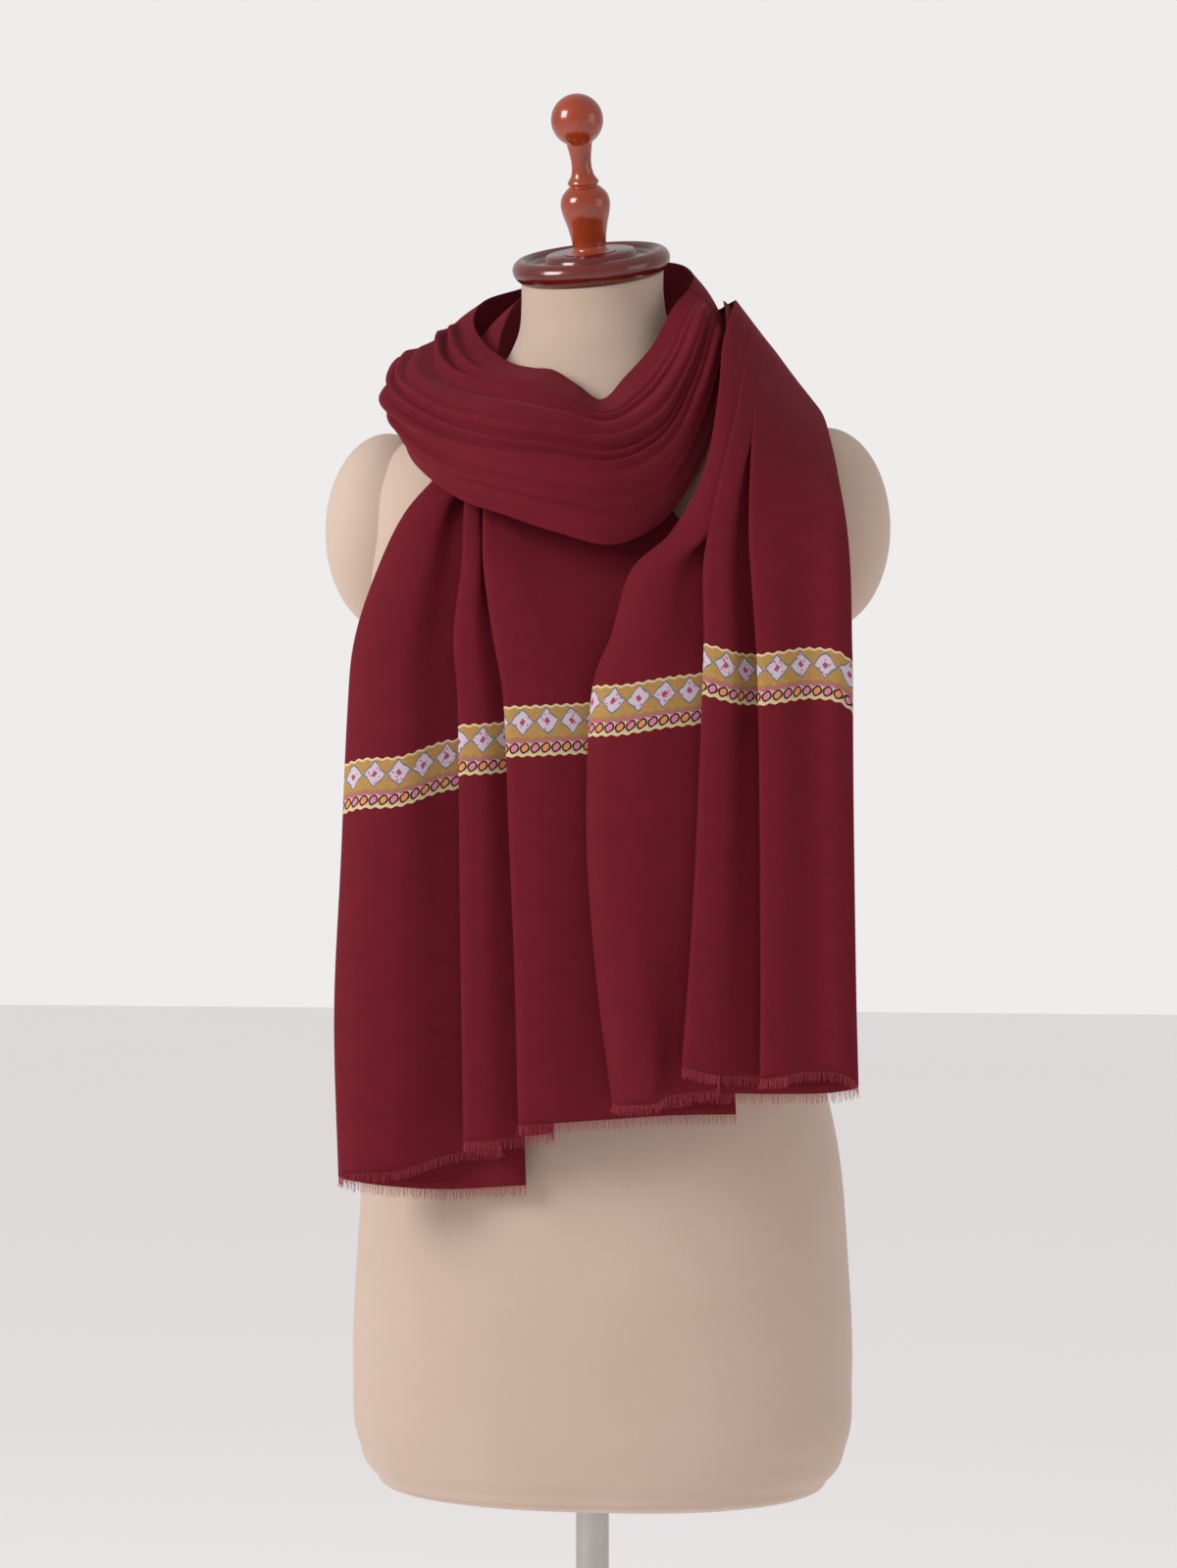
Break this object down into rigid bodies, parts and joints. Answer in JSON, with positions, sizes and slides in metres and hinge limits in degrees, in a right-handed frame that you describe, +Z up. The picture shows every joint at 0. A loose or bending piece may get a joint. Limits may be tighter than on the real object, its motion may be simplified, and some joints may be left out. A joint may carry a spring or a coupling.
{
  "type": "pashmina shawl on limbless dress form with stand",
  "caption": "Fringed pashmina shawl with embroidered end borders, wound round the neck of a limbless dress form with turned wood finial, steel pole and round base.",
  "frame": {"origin": "centre of the base plate's underside", "axes": "+Z up along the pole, -Y is the way the form faces, +X is on the right of someone facing it"},
  "size_m": [0.428, 0.3297, 1.607],
  "materials": {
    "cover": "short-pile beige jersey",
    "wood": "gloss varnish",
    "dark_wood": "gloss varnish",
    "steel": "polished, lightly marked",
    "pashmina": "fine twill with a soft nap",
    "yarn": "loose wool yarns"
  },
  "bodies": {
    "root": {"form_body": "cover", "neck_cap": "dark_wood", "finial": "wood", "base_plate": "steel", "pole": "steel", "shawl_neck_inner": "pashmina", "shawl_loop_front": "pashmina", "shawl_neck_outer": "pashmina", "shawl_end_long": "pashmina", "shawl_end_short": "pashmina", "fringe_long": "yarn", "fringe_short": "yarn"}
  },
  "joints": []
}
